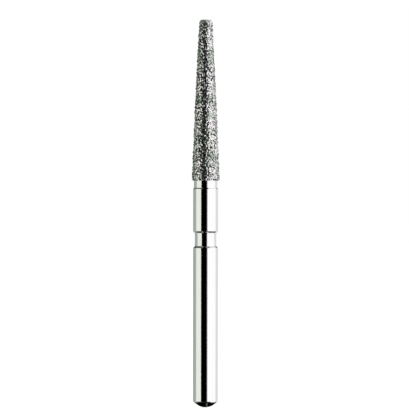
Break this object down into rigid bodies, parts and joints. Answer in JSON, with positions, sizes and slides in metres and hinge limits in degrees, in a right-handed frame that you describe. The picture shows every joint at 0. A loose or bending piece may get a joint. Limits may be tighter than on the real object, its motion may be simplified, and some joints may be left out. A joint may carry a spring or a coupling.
{
  "type": "diamond dental bur",
  "caption": "Long tapered rotary grinding point with a flat tip, coated with diamond grains, on a plain round friction-grip shank with a ring groove.",
  "frame": {"origin": "the lowest point of the shank's rounded end, on the axis", "axes": "+Z along the axis from the shank's rounded end to the grinding head, X and Y across it in any turn"},
  "size_m": [0.0018, 0.0018, 0.0247],
  "materials": {
    "stainless_steel": "polished, with faint turning marks",
    "nickel_plating": "dull electroplated nickel",
    "diamond_grain": "sharp grey-green crystals, glossy facets"
  },
  "bodies": {
    "root": {"steel_blank": "stainless_steel", "nickel_bond": "nickel_plating", "diamond_grit": "diamond_grain"}
  },
  "joints": []
}
